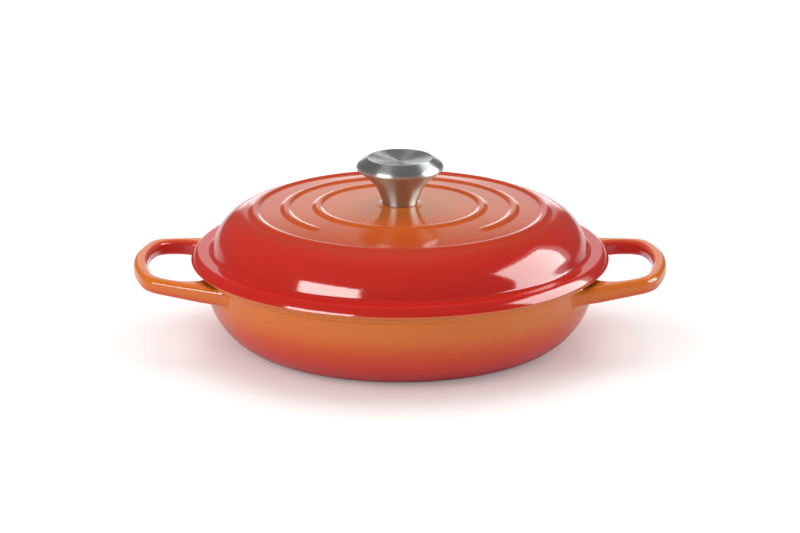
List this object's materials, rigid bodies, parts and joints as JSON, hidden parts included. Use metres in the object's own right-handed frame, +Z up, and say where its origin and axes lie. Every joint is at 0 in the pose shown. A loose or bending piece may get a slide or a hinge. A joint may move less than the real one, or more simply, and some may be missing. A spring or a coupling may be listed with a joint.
{
  "type": "braiser",
  "caption": "Shallow round braiser in enamelled cast iron, with cast loop handles and a domed, ringed lid that lifts off by a hollow steel knob.",
  "frame": {"origin": "middle of the flat base, on the surface that the pan stands on", "axes": "+X along the two handles, +Z up through the knob, -Y towards the front, where the middle ring of the lid is open"},
  "size_m": [0.3524, 0.276, 0.1235],
  "materials": {
    "pan_enamel": "glossy flame-orange enamel, sand enamel inside",
    "lid_enamel": "glossy flame-red enamel, sand enamel underneath",
    "knob_steel": "turned and brushed stainless steel",
    "fixing_steel": "plain stainless steel"
  },
  "bodies": {
    "pan": {"pan_casting": "pan_enamel"},
    "lid": {"lid_casting": "lid_enamel", "knob_cap": "knob_steel", "knob_stem": "knob_steel", "knob_insert": "fixing_steel", "knob_screw": "fixing_steel", "screw_washer": "fixing_steel"}
  },
  "joints": [
    {"name": "lid_lift", "type": "slide", "parent": "pan", "child": "lid", "axis": [0, 0, 1], "range_m": [0, 0.2]}
  ]
}
